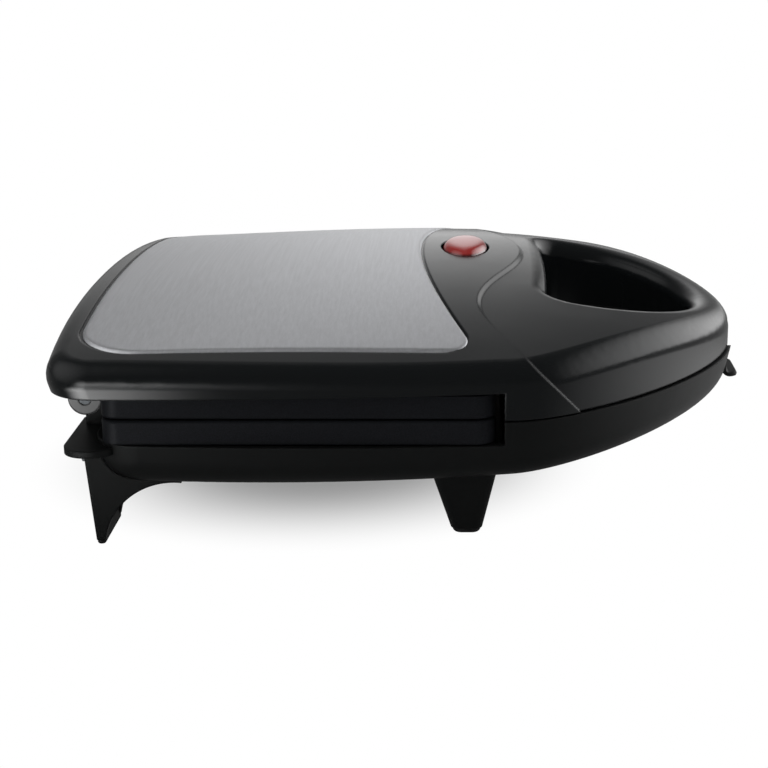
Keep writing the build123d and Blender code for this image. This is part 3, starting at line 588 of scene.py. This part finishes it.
def finger_latch():
    """Strip with soft edges carried down from the knuckle and round a bend into a tab with a round tip; the
    knuckle is a ring turned about the pin, and the hook a soft bar across the strip's back."""
    low, high = [np.array(corner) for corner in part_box("latch_clip")]
    pin_x = low[0] + knuckle_radius
    pin_z = high[2] - knuckle_radius
    strip_x = pin_x + knuckle_radius
    tab_z = low[2] + tab_half
    turn = np.linspace(0, math.pi / 2, strip_bend_points)[1:]
    down = np.linspace(pin_z, tab_z + strip_bend, strip_points)
    out = np.linspace(strip_x + strip_bend, high[0], tab_points)[1:]
    x = np.concatenate([np.full(len(down), strip_x), strip_x + strip_bend * (1 - np.cos(turn)), out])
    z = np.concatenate([down, tab_z + strip_bend * (1 - np.sin(turn)), np.full(len(out), tab_z)])
    lean = np.concatenate([np.zeros(len(down)), turn, np.full(len(out), math.pi / 2)])
    tip = corner_run(x - high[0] + tongue_round, tongue_round, tongue_round)
    width = high[1] - tip * (x > high[0] - tongue_round)
    lip = corner_run(x - high[0] + tab_half, tab_half, tab_half)
    thick = np.where(lean > 0, tab_half, strip_half) - lip * (x > high[0] - tab_half)
    thick[0] = 0              # closes the strip's top
    angle = np.linspace(0, 2 * math.pi, latch_ring, endpoint=False)
    across, through = soft_section(angle, section_power)
    strip = np.stack([
        x[:, None] + thick[:, None] * np.cos(lean)[:, None] * through,
        width[:, None] * across,
        z[:, None] + thick[:, None] * np.sin(lean)[:, None] * through], axis=-1)
    edge = high[1] - knuckle_round
    rim = knuckle_radius - knuckle_round
    profile = [knuckle_bore, rim, knuckle_radius, knuckle_radius, rim, knuckle_bore, knuckle_bore]
    radius = np.array(profile)[:, None]
    along = np.array([-high[1], -high[1], -edge, edge, high[1], high[1], -high[1]])[:, None]
    ring = np.stack([
        pin_x + radius * np.cos(angle),
        np.repeat(along, latch_ring, axis=1),
        pin_z + radius * np.sin(angle)], axis=-1)
    way = np.array([-1, -1, -hook_end, hook_end, 1, 1])[:, None]
    full = np.array([0, hook_end_size, 1, 1, hook_end_size, 0])[:, None]
    bar = np.stack([
        hook_middle[0] + hook_half[0] * full * across,
        np.repeat(high[1] * way, latch_ring, axis=1),
        hook_middle[1] + hook_half[1] * full * through], axis=-1)
    surfaces = [(form, grid_faces(len(form), latch_ring, wrap=True)) for form in (strip, ring, bar)]
    made = piece("finger_latch", surfaces, "latch", satin_black)
    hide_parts("latch_clip")


def tapered_block(low, high, corner, edge):
    """Block with a rounded-rectangle plan: its middle and half sizes, given at either end as x, y, z, half x,
    half y, run straight between them, and its low edge turns in through a quarter circle of radius edge."""
    low = np.array(low)
    high = np.array(high)
    turn = np.linspace(0, math.pi / 2, sole_round_points)
    rise = np.concatenate([[0], edge * (1 - np.cos(turn)), [high[2] - low[2]] * 2])
    inset = np.concatenate([[edge], edge * (1 - np.sin(turn)), [0, 0]])
    kept = np.ones(len(rise))
    kept[[0, -1]] = 0         # the end rows shrink to a point, which closes the ends
    row = low + (high - low) * (rise / (high[2] - low[2]))[:, None]
    half = (row[:, 3:] - inset[:, None]) * kept[:, None]
    bend = (np.maximum(corner - inset, 0) * kept)[:, None]
    quarter = np.linspace(0, math.pi / 2, foot_corner_points)
    angle = np.concatenate([quarter + turns * math.pi / 2 for turns in range(4)])
    right = np.repeat([1, -1, -1, 1], len(quarter))
    ahead = np.repeat([1, 1, -1, -1], len(quarter))
    points = np.stack([
        row[:, 0:1] + right * (half[:, 0:1] - bend) + bend * np.cos(angle),
        row[:, 1:2] + ahead * (half[:, 1:2] - bend) + bend * np.sin(angle),
        np.repeat(row[:, 2:3], len(angle), axis=1)], axis=-1)
    return points, grid_faces(len(rise), len(angle), wrap=True)


def feet_and_pads():
    """Tapered front feet with a soft sole, and the rubber pads under feet and rear legs."""
    pads = []
    pad_low, pad_high = [np.array(corner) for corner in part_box("foot_pads")]
    leg_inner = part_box("rear_stand_left")[0][1]
    for name, side in (("left", 1), ("right", -1)):
        low, high = [np.array(corner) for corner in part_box("front_foot_" + name)]
        outer = high[1] if side > 0 else -low[1]
        sole = (sole_middle[0], side * sole_middle[1], low[2], *sole_half)
        middle_x = (low[0] + high[0]) / 2
        foot_half = (high[0] - low[0]) / 2
        top = (middle_x, side * (outer - foot_top_half), high[2], foot_half, foot_top_half)
        foot = tapered_block(sole, top, foot_corner, sole_round)
        made = piece("soft_foot_" + name, [foot], "base", satin_black)
        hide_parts("front_foot_" + name)
        under_foot = (*sole_middle, *[half - pad_inset for half in sole_half])
        leg_half = (pad_high[1] - leg_inner) / 2
        under_leg = (pad_low[0] + leg_pad_depth / 2, leg_inner + leg_half, leg_pad_depth / 2, leg_half)
        for x, y, half_x, half_y in (under_foot, under_leg):
            ends = [(x, side * y, z, half_x, half_y) for z in (pad_low[2], pad_high[2])]
            pads.append(tapered_block(*ends, min(half_x, foot_corner), min(pad_round, half_x / 2)))
    made = piece("soft_foot_pads", pads, "base", rubber)
    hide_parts("foot_pads")


steel_panel()
lens()
cooking_plate("upper_plate", -1)
cooking_plate("lower_plate", 1)
all_screws()
finger_latch()
feet_and_pads()


# Studio

def seen_rays(tree):
    """Two outputs: 1 for rays from the camera or through a clear piece, and 1 for rays from a mirror."""
    path = add(tree, "LightPath", {})
    clear = add(tree, "Math", {"operation": "MAXIMUM"},
                {0: path.outputs["Is Camera Ray"], 1: path.outputs["Is Transmission Ray"]})
    return clear.outputs[0], path.outputs["Is Glossy Ray"]


def paper_sweep():
    """Matt white paper that takes the object's shadow and runs out into plain white; mirrors see it dimmer,
    with bright patches."""
    material, tree, shader, place = shader_of("white_paper_sweep", {
        "Base Color": linear("#e4e4e4"), "Roughness": 0.9, "Specular IOR Level": 0.0})
    clear, mirrored = seen_rays(tree)
    moved = add(tree, "VectorMath", {"operation": "SUBTRACT", 1: (shadow_middle, 0, 0)}, {0: place})
    drawn = add(tree, "VectorMath", {"operation": "MULTIPLY", 1: (shadow_stretch, 1, 0)},
                {0: moved.outputs["Vector"]})
    distance = add(tree, "VectorMath", {"operation": "LENGTH"}, {0: drawn.outputs["Vector"]})
    fade = add(tree, "MapRange", {"interpolation_type": "SMOOTHSTEP", "From Min": shadow_reach,
                                  "From Max": white_reach, "To Min": 1 - shadow_share},
               {"Value": distance.outputs["Value"]})
    seen = add(tree, "Math", {"operation": "MAXIMUM"}, {0: clear, 1: mirrored})
    share = add(tree, "Math", {"operation": "MULTIPLY"}, {0: fade.outputs["Result"], 1: seen.outputs[0]})
    level = add(tree, "Value", {}).outputs[0]
    level.default_value = mirrored_floor
    for middle, reach, light in floor_patches.values():
        apart = add(tree, "VectorMath", {"operation": "DISTANCE", 1: middle}, {0: place})
        patch = add(tree, "MapRange", {"interpolation_type": "SMOOTHSTEP", "From Max": reach, "To Min": light,
                                       "To Max": 0.0}, {"Value": apart.outputs["Value"]})
        level = add(tree, "Math", {"operation": "ADD"}, {0: level, 1: patch.outputs["Result"]}).outputs[0]
    strength = add(tree, "MapRange", {"To Min": 1.0}, {"Value": mirrored, "To Max": level})
    white = add(tree, "Emission", {"Color": (1, 1, 1, 1)}, {"Strength": strength.outputs["Result"]})
    mixed = add(tree, "MixShader", {}, {0: share.outputs[0], 1: shader.outputs[0], 2: white.outputs[0]})
    tree.links.new(mixed.outputs[0], tree.nodes["Material Output"].inputs["Surface"])
    return material


def white_surround():
    """White to the camera and through clear pieces; in mirrors a dim room with bright places."""
    world = bpy.data.worlds.new("white_surround")
    world.use_nodes = True
    world.cycles.sampling_method = "NONE"
    tree = world.node_tree
    way = add(tree, "TexCoord", {}).outputs["Generated"]
    room = add(tree, "Value", {}).outputs[0]
    room.default_value = room_light
    for toward, narrow, edge, fall, light in bright_places.values():
        drawn = add(tree, "VectorMath", {"operation": "MULTIPLY", 1: (narrow, 1, 1)}, {0: way})
        unit = add(tree, "VectorMath", {"operation": "NORMALIZE"}, {0: drawn.outputs["Vector"]})
        near = add(tree, "VectorMath", {"operation": "DOT_PRODUCT", 1: toward}, {0: unit.outputs["Vector"]})
        share = add(tree, "MapRange", {"From Min": edge}, {"Value": near.outputs["Value"]})
        glow = add(tree, "Math", {"operation": "POWER", 1: fall}, {0: share.outputs["Result"]})
        room = add(tree, "Math", {"operation": "MULTIPLY_ADD", 1: light},
                   {0: glow.outputs[0], 2: room}).outputs[0]
    clear, mirrored = seen_rays(tree)
    dim = add(tree, "MapRange", {"To Min": surround_light}, {"Value": mirrored, "To Max": room})
    strength = add(tree, "MapRange", {"To Max": 1.0}, {"Value": clear, "To Min": dim.outputs["Result"]})
    tree.nodes["Background"].inputs["Color"].default_value = (1, 1, 1, 1)
    tree.links.new(strength.outputs["Result"], tree.nodes["Background"].inputs["Strength"])
    return world


def studio():
    """Pale floor, soft light from above, and an even white surround."""
    corners = floor_half * np.array([(-1, -1, 0), (1, -1, 0), (1, 1, 0), (-1, 1, 0)])
    mesh = bpy.data.meshes.new("floor")
    mesh.from_pydata(corners.tolist(), [], [(0, 1, 2, 3)])
    mesh.materials.append(paper_sweep())
    floor = bpy.data.objects.new("floor", mesh)
    bpy.context.scene.collection.objects.link(floor)
    for name, (spot, width, height, watts) in soft_lights.items():
        lamp = bpy.data.lights.new(name, "AREA")
        lamp.shape = "RECTANGLE"
        lamp.size = width
        lamp.size_y = height
        lamp.energy = watts
        holder = bpy.data.objects.new(name, lamp)
        holder.location = spot
        holder.rotation_euler = (-Vector(spot)).to_track_quat("-Z", "Y").to_euler()
        holder.visible_camera = False
        holder.visible_glossy = False
        bpy.context.scene.collection.objects.link(holder)
    bpy.context.scene.world = white_surround()


def camera():
    """Camera at the photograph's place."""
    view = bpy.data.cameras.new("photo_camera")
    view.sensor_width = sensor_width
    view.lens = focal_pixels / photo_width * sensor_width
    view.shift_x = -axis_pixels / photo_width
    turn = Euler((math.pi / 2 - camera_pitch, 0, camera_yaw)).to_matrix().to_4x4()
    holder = bpy.data.objects.new("photo_camera", view)
    holder.matrix_world = Matrix.Translation(camera_place) @ turn @ Matrix.Rotation(-camera_roll, 4, "Z")
    bpy.context.scene.collection.objects.link(holder)
    bpy.context.scene.camera = holder


studio()
camera()
bpy.context.scene.view_settings.view_transform = "Standard"
